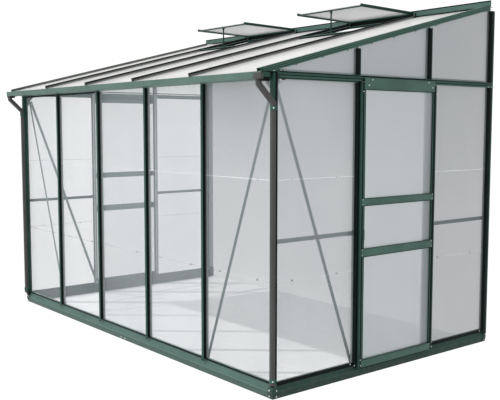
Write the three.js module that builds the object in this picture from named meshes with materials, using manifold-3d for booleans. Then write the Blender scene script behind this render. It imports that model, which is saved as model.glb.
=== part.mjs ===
// Lean-to greenhouse: aluminium glazing bars on a pressed base, a single-pitch roof that climbs to a wall,
// a sliding door in each gable, two opening roof vents on stays, a gutter along the eave and two downpipes.
// Millimetres, +Z up. The pieces are drawn in a working frame whose origin is the near front corner of the
// wall grid (x runs away along the eave as negative numbers, y runs back to the wall, z is height above the
// ground), and the whole group is moved at the end so that its origin is the middle of its footprint.
import * as THREE from 'three';
import * as BufferGeometryUtils from 'three/addons/utils/BufferGeometryUtils.js';
import Module from 'manifold-3d';

const wasm = await Module();
wasm.setup();

// ---- driving dimensions ----
const BAY = 622;                 // spacing of the glazing bars
const FRONT_BAYS = 5;
const GABLE_BAYS = 3;
const LENGTH = BAY * FRONT_BAYS; // corner to corner along the eave
const DEPTH = BAY * GABLE_BAYS;  // eave wall to wall-post centre
const WALL_Y = 1882;             // plane of the house wall
const BASE_H = 86;               // pressed base height
const SLOPE = 0.253;             // roof rise per unit of depth
const PITCH = Math.atan(SLOPE);
const ROOF_GLASS_Z0 = 1742.5;    // top of the roof glass over the eave wall line
const HEAD_W = 20;               // bar width
const HEAD_D = 19.7;             // depth of a bar's outer box
const SLOT = 4.6;                // slot that holds the glass edge
const BAR_D = 38;                // whole depth of a bar
const WALL = 2.5;                // wall thickness of the hollow boxes
const GLASS = 4;                 // pane thickness
const GAP = 0.3;                 // fitting gap
const NECK = 3.5;                // half width of a bar's neck
const BAR_FOOT = 54;             // toe of a gable bar in front of the base
const FRONT_BAR_FOOT = 72;       // toe of a front bar
const GUTTER_FRONT = -120;
const GUTTER_BOTTOM = 1683;
const GUTTER_TOP = 1716.5;
const GUTTER_END = 43;           // how far the gutter passes the corner
const EAVE_GLASS_TOP = 1697;      // the panes run up behind the eave box
const TRACK_TOP = 1726;
const TRACK_FLOOR = 1693;
const DOOR_INNER_X = 15;
const DOOR_OUTER_X = 34.2;
const DOOR_PLATE_X = 36.7;
const DOOR_Y0 = 625;
const DOOR_Y1 = 1274;
const DOOR_STILE = 27;
const DOOR_BOTTOM = 57;
const DOOR_STILE_TOP = 1690.5;
const DOOR_HEAD = [1644.5, 1717.5];
const DOOR_RAILS = [[701, 752], [993, 1038]];
const DOOR_FOOT = [57, 106];
const MID_RAIL = [827, 849];
const PIPE_R = 13.5;
const PIPE_BORE = 11.5;
const HINGE_Y = 1824;            // roof vent hinge line
const HINGE_Z = 2225.8;
const VENT_OPEN = THREE.MathUtils.degToRad(15.4);
const VENT_LEN = 525;
const VENT_W = 634;
const STAY_BACK = 500;           // stay pivot, measured down the sash from the hinge
const STAY_DROP = 6;
const STAY_LEN = 138;

// ---- materials ----
const mat = (color, roughness, metalness, extra = {}) =>
  new THREE.MeshStandardMaterial({ color, roughness, metalness, ...extra });
const green = () => mat(0x2d5147, 0.45, 0.3);
const paleGreen = () => mat(0x5f8577, 0.5, 0.3);
const grey = () => mat(0x505150, 0.55, 0);
const glassMat = () => mat(0xcfd9d6, 0.05, 0, { transparent: true, opacity: 0.35 });

// ---- helpers ----
const RUN = {
  x: new THREE.Matrix4().makeBasis(new THREE.Vector3(0, 1, 0), new THREE.Vector3(0, 0, 1), new THREE.Vector3(1, 0, 0)),
  y: new THREE.Matrix4().makeBasis(new THREE.Vector3(0, 0, 1), new THREE.Vector3(1, 0, 0), new THREE.Vector3(0, 1, 0)),
  z: new THREE.Matrix4(),
};
// Roof frame: u stands square on the glass (0 = top of the glass), v is x, w climbs the slope.
const ROOF_ORIGIN = new THREE.Vector3(0, 0, ROOF_GLASS_Z0);
RUN.roof = new THREE.Matrix4().makeBasis(
  new THREE.Vector3(0, -Math.sin(PITCH), Math.cos(PITCH)),
  new THREE.Vector3(1, 0, 0),
  new THREE.Vector3(0, Math.cos(PITCH), Math.sin(PITCH)),
).setPosition(ROOF_ORIGIN);
const upSlope = (y) => y / Math.cos(PITCH);
const roofZ = (y, dz = 0) => ROOF_GLASS_Z0 + SLOPE * y + dz;

const end = (e) => (typeof e === 'function' ? e : () => e);

// A length of drawn section. Its outline lies in (u, v); its two ends are given as places along w, either
// plain numbers or functions of (u, v), which is how a mitred, stepped or toed end is cut.
function section(run, outline, from, to, holes = []) {
  const wound = (pts, ccw) => {
    const v = pts.map(([a, b]) => new THREE.Vector2(a, b));
    return (THREE.ShapeUtils.area(v) > 0) === ccw ? v : v.reverse();
  };
  const shape = new THREE.Shape(wound(outline, true));
  for (const h of holes) shape.holes.push(new THREE.Path(wound(h, false)));
  const geo = new THREE.ExtrudeGeometry(shape, { depth: 1, bevelEnabled: false, steps: 1 });
  const p = geo.attributes.position;
  const a = end(from);
  const b = end(to);
  for (let i = 0; i < p.count; i++) p.setZ(i, (p.getZ(i) < 0.5 ? a : b)(p.getX(i), p.getY(i)));
  geo.applyMatrix4(RUN[run]);
  return geo;
}

const box = (x0, x1, y0, y1, z0, z1) =>
  new THREE.BoxGeometry(x1 - x0, y1 - y0, z1 - z0).translate((x0 + x1) / 2, (y0 + y1) / 2, (z0 + z1) / 2);

function bare(geo) {
  const g = geo.index ? geo.clone() : geo.clone();
  g.deleteAttribute('normal');
  g.deleteAttribute('uv');
  return BufferGeometryUtils.mergeVertices(g, 1e-4);
}

function solid(geo) {
  const m = bare(geo);
  return new wasm.Manifold(new wasm.Mesh({
    numProp: 3,
    vertProperties: new Float32Array(m.attributes.position.array),
    triVerts: new Uint32Array(m.index.array),
  }));
}

function fromSolid(man) {
  const m = man.getMesh();
  const g = new THREE.BufferGeometry();
  const n = m.vertProperties.length / m.numProp;
  const pos = new Float32Array(n * 3);
  for (let i = 0; i < n; i++) for (let k = 0; k < 3; k++) pos[3 * i + k] = m.vertProperties[i * m.numProp + k];
  g.setAttribute('position', new THREE.BufferAttribute(pos, 3));
  g.setIndex(new THREE.BufferAttribute(new Uint32Array(m.triVerts), 1));
  return g;
}

const join = (...geos) => fromSolid(geos.map(solid).reduce((a, b) => a.add(b)));
const cut = (geo, ...tools) => fromSolid(tools.map(solid).reduce((a, b) => a.subtract(b), solid(geo)));

// The far gable is the near one reflected in the middle of the eave.
function reflected(geo) {
  const g = bare(geo);
  const p = g.attributes.position;
  for (let i = 0; i < p.count; i++) p.setX(i, -LENGTH - p.getX(i));
  const idx = g.index.array;
  for (let i = 0; i < idx.length; i += 3) { const t = idx[i + 1]; idx[i + 1] = idx[i + 2]; idx[i + 2] = t; }
  return g;
}

const greenhouse = new THREE.Group();
function add(name, geo, material, at = [0, 0, 0], parent = greenhouse) {
  geo.deleteAttribute?.('normal');
  geo.deleteAttribute?.('uv');
  geo.computeVertexNormals();
  const mesh = new THREE.Mesh(geo, material);
  mesh.name = name;
  mesh.position.set(...at);
  parent.add(mesh);
  return mesh;
}
function addPair(stem, geo, material, tail = '') {
  add(`${stem}_right${tail}`, geo, material());
  add(`${stem}_left${tail}`, reflected(geo), material());
}

// ---- base: a pressed rail with a bulged face, a glazing ledge and a turned-in foot ----
// (n, z): n runs inward from the wall grid line.
const BASE = [[0, 0], [-7, 36], [-7, 40], [6, 67], [9, 69], [9, BASE_H], [25, BASE_H], [25, 0], [22.5, 0],
  [22.5, 83.5], [11.5, 83.5], [11.5, 67.2], [8, 65], [-4.4, 39.5], [-4.4, 36.3], [2.3, 2.5], [13, 2.5], [13, 0]];
const SPLICE_X = -LENGTH / 2;
add('base_front_left', section('x', BASE, (n) => -LENGTH + n + 0.2, SPLICE_X - 0.2), paleGreen());
add('base_front_right', section('x', BASE, SPLICE_X + 0.2, (n) => -n - 0.2), paleGreen());
addPair('base_side', section('y', BASE.map(([n, z]) => [z, -n]), (z, x) => -x + 0.2, WALL_Y), paleGreen);

// Every upright stands on the base's ledge; its outer wall runs on down in front of the base as a toe.
const STAND = BASE_H + GAP;
const TOE_TOP = BASE_H + 4;

// ---- corner and wall posts ----
const corner = [[-16, -10], [10, -10], [10, 20.1], [-14.3, 20.1], [-14.3, 26], [-20, 26], [-20, 20],
  [-24, 20], [-24, 14.3], [-16, 14.3]];
const cornerBore = [[-13.5, -7.5], [7.5, -7.5], [7.5, 17.6], [-13.5, 17.6]];
const cornerToe = [[-16, -10], [10, -10], [10, 20.1], [7.5, 20.1], [7.5, -7.5], [-16, -7.5]];
addPair('corner_post', join(section('z', corner, STAND, 1724.5, [cornerBore]), section('z', cornerToe, BAR_FOOT, TOE_TOP)), green);

const wallPost = [[10, 1845.9], [10, WALL_Y], [-20, WALL_Y], [-20, 1840], [-14.3, 1840], [-14.3, 1845.9]];
const wallPostBore = [[7.5, 1848.4], [7.5, 1879.5], [-17, 1879.5], [-17, 1848.4]];
addPair('wall_post', join(section('z', wallPost, STAND, 2187, [wallPostBore]), box(7.5, 10, 1845.9, WALL_Y, BAR_FOOT, TOE_TOP)), green);

// ---- glazing bars: outer box, slot for the panes, inner box with a bolt slot ----
// (u, d): u across the bar, d inward from its outer face.
const H = HEAD_W / 2;
const OUTER = [[-H, 0], [H, 0], [H, HEAD_D], [-H, HEAD_D]];
const OUTER_BORE = [[-H + WALL, WALL], [H - WALL, WALL], [H - WALL, HEAD_D - WALL], [-H + WALL, HEAD_D - WALL]];
const WAIST = [[-NECK, HEAD_D - 1], [NECK, HEAD_D - 1], [NECK, HEAD_D + SLOT + 0.25], [-NECK, HEAD_D + SLOT + 0.25]];
const INNER = [[-9, HEAD_D + SLOT], [9, HEAD_D + SLOT], [9, BAR_D], [3.2, BAR_D], [3.2, 35.6], [6.2, 35.6], [6.2, 29.5],
  [-6.2, 29.5], [-6.2, 35.6], [-3.2, 35.6], [-3.2, BAR_D], [-9, BAR_D]];

// place(u, d) sets the section in its run; outer, waist and inner are the [from, to] of the three parts of the bar.
function glazingBar(run, place, outer, waist, inner) {
  const at = (pts) => pts.map(([u, d]) => place(u, d));
  return join(section(run, at(OUTER), ...outer, [at(OUTER_BORE)]), section(run, at(WAIST), ...waist), section(run, at(INNER), ...inner));
}

const frontBar = join(
  glazingBar('z', (u, d) => [u, d - 10], [STAND, GUTTER_BOTTOM - GAP], [STAND, GUTTER_BOTTOM - GAP], [STAND, GUTTER_BOTTOM - GAP]),
  box(-H, H, -10, -10 + WALL, FRONT_BAR_FOOT, TOE_TOP),
);
for (let k = 1; k <= 4; k++) add(`front_bar_${k}`, frontBar.clone(), green(), [-BAY * k, 0, 0]);

for (let k = 1; k <= 2; k++) {
  const y0 = BAY * k;
  const vergeFoot = roofZ(y0 - H, -14.5);
  const geo = join(
    glazingBar('z', (u, d) => [10 - d, y0 + u], [STAND, vergeFoot - 8], [STAND, vergeFoot + 5], [STAND, vergeFoot + 5]),
    box(10 - WALL, 10, y0 - H, y0 + H, BAR_FOOT, TOE_TOP),
  );
  addPair('gable_upright', geo, green, `_${k}`);
}

// ---- eave beam and gutter in one extrusion, with a drain hole over each outlet ----
const flange = (y) => roofZ(y, -(GLASS + 0.3) / Math.cos(PITCH));
const channel = [[GUTTER_FRONT, GUTTER_BOTTOM], [GUTTER_FRONT, GUTTER_TOP], [-113, GUTTER_TOP], [-113, 1714], [-117.4, 1714],
  [-117.4, 1685.6], [-62.6, 1685.6], [-62.6, 1711], [-60, 1711], [-60, GUTTER_BOTTOM]];
const eaveBox = [[-62.6, GUTTER_BOTTOM], [-62.6, flange(-62.6)], [9.6, flange(9.6)], [9.6, GUTTER_BOTTOM]];
const eaveBoxBore = [[-60, 1685.6], [-60, flange(-60) - 2.6], [7, flange(7) - 2.6], [7, 1685.6]];
const eaveLip = [[9, EAVE_GLASS_TOP + 0.4], [9, flange(9)], [22, flange(22)], [22, flange(22) - 2.6], [13, flange(13) - 2.6],
  [13, 1703], [17.2, 1703], [17.2, 1687], [14.7, 1687], [14.7, EAVE_GLASS_TOP + 0.4]];
const SPOUTS = [{ side: 'right', spout: 6, pipe: 27 }, { side: 'left', spout: -3136, pipe: -3083 }];
const SPOUT_Y = -100;
const PIPE_Y = -25;
const drains = SPOUTS.map((s) => new THREE.CylinderGeometry(PIPE_BORE, PIPE_BORE, 12, 12).rotateX(Math.PI / 2)
  .translate(s.spout, SPOUT_Y, GUTTER_BOTTOM));
add('eave_gutter', cut(join(
  section('x', channel, -LENGTH - GUTTER_END, GUTTER_END),
  section('x', eaveBox, -LENGTH + 16.4, -16.4, [eaveBoxBore]),
  section('x', eaveLip, -LENGTH + 27, -27),
), ...drains), paleGreen());

// ---- roof: verge bars, roof bars, ridge bar against the wall ----
// (n, x) sections; n = 0 is the top of the glass.
const VERGE = [[-14, 12], [17, 12], [17, -18], [0.4, -18], [0.4, -15.6], [14.5, -15.6], [14.5, 9.6], [-4.4, 9.6],
  [-4.4, -16], [-6.9, -16], [-6.9, 9.6], [-14, 9.6]];
addPair('verge_bar', section('roof', VERGE, (n) => upSlope(-95) + (n < -10 ? 26 : 0), upSlope(1829) - 8 + 0.0), green);

// Over the eave beam only the outer box and a thin fin between the panes run on.
const roofBar = join(
  glazingBar('roof', (u, d) => [20 - d, u], [upSlope(-90), upSlope(1822)], [upSlope(23.5), upSlope(1812)], [upSlope(23.5), upSlope(1812)]),
  section('roof', [[-4, -NECK], [0.8, -NECK], [0.8, NECK], [-4, NECK]], upSlope(-88), upSlope(24.5)),
);
for (let k = 1; k <= 4; k++) add(`roof_bar_${k}`, roofBar.clone(), green(), [-BAY * k, 0, 0]);

const seat = (y) => roofZ(y, -(GLASS + 0.4) / Math.cos(PITCH));
const RIDGE = [[1830, 2210], [1833, 2210], [1833, 2250.4], [1879.4, 2250.4], [1879.4, seat(1879.4)], [1820, seat(1820)],
  [1820, seat(1820) - 2.6], [1879.4, seat(1879.4) - 2.6], [1879.4, 2192], [WALL_Y, 2192], [WALL_Y, 2253], [1830, 2253]];
const ridgeEnd = (y) => (y > 1829 && y < 1834 ? 14 : -24);
add('ridge_bar', section('x', RIDGE, (y) => -LENGTH - ridgeEnd(y), ridgeEnd), paleGreen());

// ---- gable rail: lintel over the bay, running on as the door's top track ----
const TRACK = [[10.3, TRACK_FLOOR], [27, TRACK_FLOOR], [27, 1701], [24.5, 1701], [24.5, 1695.5], [13, 1695.5],
  [13, 1723.5], [19, 1723.5], [19, TRACK_TOP], [10.3, TRACK_TOP]];
const LINTEL_LIP = [[10.3, 1685], [17, 1685], [17, 1687.5], [13, 1687.5], [13, 1694], [10.3, 1694]];
const zx = (pts) => pts.map(([x, z]) => [z, x]);
addPair('gable_rail', join(section('y', zx(TRACK), 24, 1862), section('y', zx(LINTEL_LIP), 24, 604)), green);

// ---- middle rails, inside the glass, in the bays beside each door ----
const MID = [[-28, MID_RAIL[0]], [-16, MID_RAIL[0]], [-16, MID_RAIL[1]], [-28, MID_RAIL[1]], [-28, MID_RAIL[1] - 2.5],
  [-18.5, MID_RAIL[1] - 2.5], [-18.5, MID_RAIL[0] + 2.5], [-28, MID_RAIL[0] + 2.5]];
addPair('gable_mid_rail', section('y', zx(MID), 26.4, BAY - 9.4), green, '_front');
addPair('gable_mid_rail', section('y', zx(MID), 2 * BAY + 9.4, 1839.6), green, '_rear');

// ---- flat diagonal braces, bolted inside the bars ----
function strip(p, q, half) {
  const d = new THREE.Vector2(q[0] - p[0], q[1] - p[1]).normalize();
  const n = new THREE.Vector2(-d.y, d.x).multiplyScalar(half);
  return [[p[0] + n.x, p[1] + n.y], [p[0] - n.x, p[1] - n.y], [q[0] - n.x, q[1] - n.y], [q[0] + n.x, q[1] + n.y]];
}
const braceFront = section('y', zx(strip([-48, 1640], [-626, 72], 10)), 28.6, 31.4);
add('brace_front_right', braceFront, green());
add('brace_front_left', reflected(braceFront), green());
const braceGable = section('x', strip([48, 1640], [622, 72], 10), -31.4, -28.6);
addPair('brace_gable', braceGable, green);

// ---- downpipes with the gutter end-stop outlets they hang from ----
function ring(outer, inner, sides = 12) {
  const s = new THREE.Shape();
  const h = new THREE.Path();
  for (let i = 0; i < sides; i++) {
    const a = (2 * Math.PI * i) / sides;
    s[i ? 'lineTo' : 'moveTo'](outer * Math.cos(a), outer * Math.sin(a));
    h[i ? 'lineTo' : 'moveTo'](inner * Math.cos(-a), inner * Math.sin(-a));
  }
  s.closePath();
  h.closePath();
  s.holes.push(h);
  return s;
}
for (const s of SPOUTS) {
  const P = (x, y, z) => new THREE.Vector3(x, y, z);
  const mix = (t) => P(s.spout + (s.pipe - s.spout) * t, SPOUT_Y + (PIPE_Y - SPOUT_Y) * t, 1650 - 90 * t);
  const path = new THREE.CatmullRomCurve3([P(s.spout, SPOUT_Y, 1681), P(s.spout, SPOUT_Y, 1668), P(s.spout, SPOUT_Y, 1656),
    mix(0.12), mix(0.3), mix(0.5), mix(0.7), mix(0.88), P(s.pipe, PIPE_Y, 1554), P(s.pipe, PIPE_Y, 1542), P(s.pipe, PIPE_Y, 1529)]);
  const elbow = new THREE.ExtrudeGeometry(ring(PIPE_R, PIPE_BORE), { extrudePath: path, steps: 18 });
  const drop = new THREE.LatheGeometry([[PIPE_BORE, 80], [16, 80], [16, 98], [PIPE_R, 102], [PIPE_R, 1530], [PIPE_BORE, 1530], [PIPE_BORE, 80]]
    .map(([r, z]) => new THREE.Vector2(r, z)), 12).rotateX(Math.PI / 2).translate(s.pipe, PIPE_Y, 0);
  const right = s.side === 'right';
  const x0 = right ? -20 : -LENGTH - GUTTER_END - 2.8;
  const x1 = right ? GUTTER_END + 2.8 : -LENGTH + 20;
  const [e0, e1] = right ? [GUTTER_END + GAP, x1] : [x0, -LENGTH - GUTTER_END - GAP];
  const stop = join(box(x0, x1, -122.9, -120.3, 1680, 1719), box(x0, x1, -122.9, -60, 1680, 1682.7),
    box(e0, e1, -122.9, -62, 1680, 1719));
  const drain = new THREE.CylinderGeometry(PIPE_BORE, PIPE_BORE, 12, 12).rotateX(Math.PI / 2).translate(s.spout, SPOUT_Y, 1681);
  add(`downpipe_${s.side}`, join(elbow, drop, cut(stop, drain)), grey());
}

// ---- glass: one pane to a bay in each wall, held in the bars' slots ----
const G0 = 10;
const G1 = G0 + GLASS;
const edge = NECK + GAP;
for (let k = 1; k <= FRONT_BAYS; k++) {
  const x1 = k === 1 ? -16.3 : -BAY * (k - 1) - edge;
  const x0 = k === FRONT_BAYS ? -LENGTH + 16.3 : -BAY * k + edge;
  add(`front_glass_${k}`, box(x0, x1, G0, G1, BASE_H + 0.4, EAVE_GLASS_TOP), glassMat());
}
for (let k = 1; k <= FRONT_BAYS; k++) {
  const x1 = k === 1 ? 8 : -BAY * (k - 1) - edge;
  const x0 = k === FRONT_BAYS ? -LENGTH - 8 : -BAY * k + edge;
  const top = k === 2 || k === 4 ? 1300 : 1858;
  add(`roof_glass_${k}`, section('roof', [[-GLASS, x0], [0, x0], [0, x1], [-GLASS, x1]], upSlope(-88), upSlope(top)), glassMat());
}
const gableTop = (y) => roofZ(y, -7.6 / Math.cos(PITCH));
const gablePane = (y0, y1) => section('x', [[y0, BASE_H + 0.4], [y1, BASE_H + 0.4], [y1, gableTop(y1)], [y0, gableTop(y0)]], -G1, -G0);
addPair('gable_glass', gablePane(20.4, BAY - edge), glassMat, '_front');
addPair('gable_glass', gablePane(2 * BAY + edge, 1845.6), glassMat, '_rear');
// Over the door the pane starts at the lintel, so the doorway below it is clear.
const overDoor = section('x', [[BAY + edge, 1696], [2 * BAY - edge, 1696], [2 * BAY - edge, gableTop(2 * BAY - edge)], [BAY + edge, gableTop(BAY + edge)]], -G1, -G0);
addPair('gable_glass', overDoor, glassMat, '_over_door');

// ---- sliding doors: grooved stiles, lapped head, middle and foot rails, and the pane in the groove ----
const GROOVE = 8;
const stileA = [[DOOR_INNER_X, DOOR_Y0], [DOOR_OUTER_X, DOOR_Y0], [DOOR_OUTER_X, DOOR_Y0 + DOOR_STILE], [24.8, DOOR_Y0 + DOOR_STILE],
  [24.8, DOOR_Y0 + DOOR_STILE - GROOVE], [20.2, DOOR_Y0 + DOOR_STILE - GROOVE], [20.2, DOOR_Y0 + DOOR_STILE], [DOOR_INNER_X, DOOR_Y0 + DOOR_STILE]];
const stileB = stileA.map(([x, y]) => [x, DOOR_Y0 + DOOR_Y1 - y]);
const lap = 0.4;
const doorParts = [
  section('z', stileA, DOOR_BOTTOM, DOOR_STILE_TOP),
  section('z', stileB, DOOR_BOTTOM, DOOR_STILE_TOP),
  box(DOOR_OUTER_X - lap, DOOR_PLATE_X, 641, 1252, ...DOOR_HEAD),
  box(24.8, DOOR_OUTER_X, DOOR_Y0 + 22, DOOR_Y1 - 22, 1652, 1688),
  box(DOOR_OUTER_X - lap, DOOR_PLATE_X, 635, 1252, ...DOOR_FOOT),
  box(24.8, DOOR_OUTER_X, DOOR_Y0 + 22, DOOR_Y1 - 22, 60, 100),
  box(DOOR_INNER_X, DOOR_OUTER_X, DOOR_Y0 + 22, DOOR_Y1 - 22, 60, 69.6),
];
for (const [z0, z1] of DOOR_RAILS) {
  doorParts.push(box(DOOR_OUTER_X - lap, DOOR_PLATE_X, 627, 1254, z0, z1));
  doorParts.push(box(24.8, DOOR_OUTER_X, DOOR_Y0 + 22, DOOR_Y1 - 22, z0 + 8, z1 - 8));
}
addPair('door_frame', join(...doorParts), green);
addPair('door_glass', box(20.5, 24.5, DOOR_Y0 + DOOR_STILE - GROOVE + GAP, DOOR_Y1 - DOOR_STILE + GROOVE - GAP, 70, 1662), glassMat);

// ---- roof vents: glazed sash hinged at the ridge, and the stay that hangs from its free rail ----
const ventRest = PITCH - VENT_OPEN;
const w2 = VENT_W / 2;
const sashParts = [
  box(-w2, -w2 + 16, -VENT_LEN - 8, -2, 0.5, 14.5),
  box(w2 - 16, w2, -VENT_LEN - 8, -2, 0.5, 14.5),
  box(-w2 + 8, w2 - 8, -VENT_LEN, -VENT_LEN + 13, 0.5, 9.8),
  box(-w2 + 8, w2 - 8, -18, -3, 0.5, 14.5),
  box(-w2 + 10, w2 - 10, -VENT_LEN + 2, -10, 9.5, 13.5),
];
const sash = join(...sashParts);
for (let i = 0; i < 2; i++) {
  const xc = -BAY * (1.5 + 2 * i);
  const vent = new THREE.Group();
  vent.position.set(xc, HINGE_Y, HINGE_Z);
  greenhouse.add(vent);
  const mesh = add(`vent_sash_${i + 1}`, sash.clone(), green(), [0, 0, 0], vent);
  mesh.rotation.x = ventRest;
  // The stay hangs plumb in the open vent: a punched flat bar with round ends.
  const py = -STAY_BACK * Math.cos(ventRest) + STAY_DROP * Math.sin(ventRest);
  const pz = -STAY_BACK * Math.sin(ventRest) - STAY_DROP * Math.cos(ventRest);
  const s = new THREE.Shape();
  s.absarc(0, 0, 5.5, 0, Math.PI, false);
  s.absarc(0, -STAY_LEN, 5.5, Math.PI, 2 * Math.PI, false);
  s.closePath();
  for (const z of [0, -STAY_LEN * 0.5, -STAY_LEN * 0.75, -STAY_LEN]) {
    const h = new THREE.Path();
    h.absarc(0, z, 2.2, 0, 2 * Math.PI, true);
    s.holes.push(h);
  }
  const bar = new THREE.ExtrudeGeometry(s, { depth: 4, bevelEnabled: false, steps: 1, curveSegments: 8 });
  bar.applyMatrix4(RUN.x);
  add(`vent_stay_${i + 1}`, bar, green(), [-2, py, pz], vent);
}

// ---- origin: middle of the footprint, on the ground ----
greenhouse.updateMatrixWorld(true);
const bounds = new THREE.Box3();
greenhouse.traverse((o) => {
  if (!o.isMesh) return;
  const p = o.geometry.attributes.position;
  const v = new THREE.Vector3();
  for (let i = 0; i < p.count; i++) bounds.expandByPoint(v.fromBufferAttribute(p, i).applyMatrix4(o.matrixWorld));
});
greenhouse.position.set(-(bounds.min.x + bounds.max.x) / 2, -(bounds.min.y + bounds.max.y) / 2, -bounds.min.z);

export default greenhouse;
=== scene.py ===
import bpy
import bmesh
import math
from mathutils import Matrix, Vector


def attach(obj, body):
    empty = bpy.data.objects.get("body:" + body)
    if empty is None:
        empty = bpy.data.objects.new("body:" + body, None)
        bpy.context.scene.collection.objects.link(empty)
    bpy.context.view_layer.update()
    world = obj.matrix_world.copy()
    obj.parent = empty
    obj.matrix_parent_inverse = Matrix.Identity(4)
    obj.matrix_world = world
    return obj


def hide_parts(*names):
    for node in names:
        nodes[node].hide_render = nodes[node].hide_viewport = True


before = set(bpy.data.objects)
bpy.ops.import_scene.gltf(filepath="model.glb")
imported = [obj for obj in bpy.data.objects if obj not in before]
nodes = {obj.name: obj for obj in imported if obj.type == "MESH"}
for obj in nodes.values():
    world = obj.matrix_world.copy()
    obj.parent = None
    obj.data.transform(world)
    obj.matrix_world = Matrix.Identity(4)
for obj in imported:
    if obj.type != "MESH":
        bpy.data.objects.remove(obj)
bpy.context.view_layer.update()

# ---------------------------------------------------------------- working frame
# Shapes are written in millimetres: x along the eave (0 at the near gable's glazing line, negative away from it),
# y from the eave wall back to the house wall, z up. P() turns such a point into the row frame in metres.
OX, OY = 1555.0, -879.55
BAY = 622.0
LENGTH = 3110.0
SLOPE = 0.253
PITCH = math.atan(SLOPE)
ROOF_Z0 = 1742.5
HINGE = (1824.0, 2225.8)
VENT_REST = PITCH - math.radians(15.4)
VENT_X = (-BAY * 1.5, -BAY * 3.5)


def P(x, y, z):
    return Vector(((x + OX) / 1000, (y + OY) / 1000, z / 1000))


def roof_z(y, dz=0.0):
    return ROOF_Z0 + SLOPE * y + dz


# ---------------------------------------------------------------- camera
def make_camera():
    a, p, r = math.radians(51.081), math.radians(5.277), math.radians(0.032)
    fwd = Vector((-math.sin(a) * math.cos(p), math.cos(a) * math.cos(p), -math.sin(p)))
    right = Vector((math.cos(a), math.sin(a), 0))
    up = right.cross(fwd)
    r2 = right * math.cos(r) + up * math.sin(r)
    u2 = up * math.cos(r) - right * math.sin(r)
    m = Matrix.Identity(4)
    for i in range(3):
        m[i][0], m[i][1], m[i][2] = r2[i], u2[i], -fwd[i]
    m.translation = P(3160.3, -2706.56, 1442.29)
    cam = bpy.data.cameras.new("camera")
    cam.sensor_width = 36.0
    cam.lens = 58.109
    cam.shift_y = 0.0018
    cam.clip_start = 0.05
    cam.clip_end = 200.0
    o = bpy.data.objects.new("camera", cam)
    bpy.context.scene.collection.objects.link(o)
    o.matrix_world = m
    bpy.context.scene.camera = o


make_camera()
bpy.context.scene.view_settings.view_transform = "Standard"


# ---------------------------------------------------------------- materials
def srgb(r, g, b):
    out = []
    for c in (r, g, b):
        c /= 255.0
        out.append(c / 12.92 if c <= 0.04045 else ((c + 0.055) / 1.055) ** 2.4)
    return out


def new_mat(name):
    m = bpy.data.materials.new(name)
    m.use_nodes = True
    nt = m.node_tree
    bsdf = nt.nodes["Principled BSDF"]
    coord = nt.nodes.new("ShaderNodeTexCoord")
    return m, nt, bsdf, coord.outputs["Object"]


def noise(nt, vec, scale, detail=2.0, rough=0.5, stretch=None):
    if stretch:
        mp = nt.nodes.new("ShaderNodeMapping")
        mp.inputs["Scale"].default_value = stretch
        nt.links.new(vec, mp.inputs["Vector"])
        vec = mp.outputs["Vector"]
    n = nt.nodes.new("ShaderNodeTexNoise")
    n.inputs["Scale"].default_value = scale
    n.inputs["Detail"].default_value = detail
    n.inputs["Roughness"].default_value = rough
    nt.links.new(vec, n.inputs["Vector"])
    return n.outputs["Fac"]


def ramp(nt, fac, lo, hi, a, b):
    """fac from lo..hi to a..b, clamped."""
    n = nt.nodes.new("ShaderNodeMapRange")
    n.inputs["From Min"].default_value = lo
    n.inputs["From Max"].default_value = hi
    n.inputs["To Min"].default_value = a
    n.inputs["To Max"].default_value = b
    nt.links.new(fac, n.inputs["Value"])
    return n.outputs["Result"]


def mix_colour(nt, fac, a, b):
    n = nt.nodes.new("ShaderNodeMix")
    n.data_type = "RGBA"
    for sock, val in ((n.inputs[6], a), (n.inputs[7], b)):
        if isinstance(val, (list, tuple)):
            sock.default_value = (*val[:3], 1.0)
        else:
            nt.links.new(val, sock)
    nt.links.new(fac, n.inputs[0])
    return n.outputs[2]


def axis(nt, vec, which):
    n = nt.nodes.new("ShaderNodeSeparateXYZ")
    nt.links.new(vec, n.inputs[0])
    return n.outputs["XYZ".index(which)]


def math_node(nt, op, a, b=None):
    n = nt.nodes.new("ShaderNodeMath")
    n.operation = op
    for i, v in enumerate((a, b)):
        if v is None:
            continue
        if isinstance(v, (int, float)):
            n.inputs[i].default_value = v
        else:
            nt.links.new(v, n.inputs[i])
    return n.outputs[0]


def bump(nt, bsdf, height, strength, distance):
    n = nt.nodes.new("ShaderNodeBump")
    n.inputs["Strength"].default_value = strength
    n.inputs["Distance"].default_value = distance
    nt.links.new(height, n.inputs["Height"])
    nt.links.new(n.outputs["Normal"], bsdf.inputs["Normal"])


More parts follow.
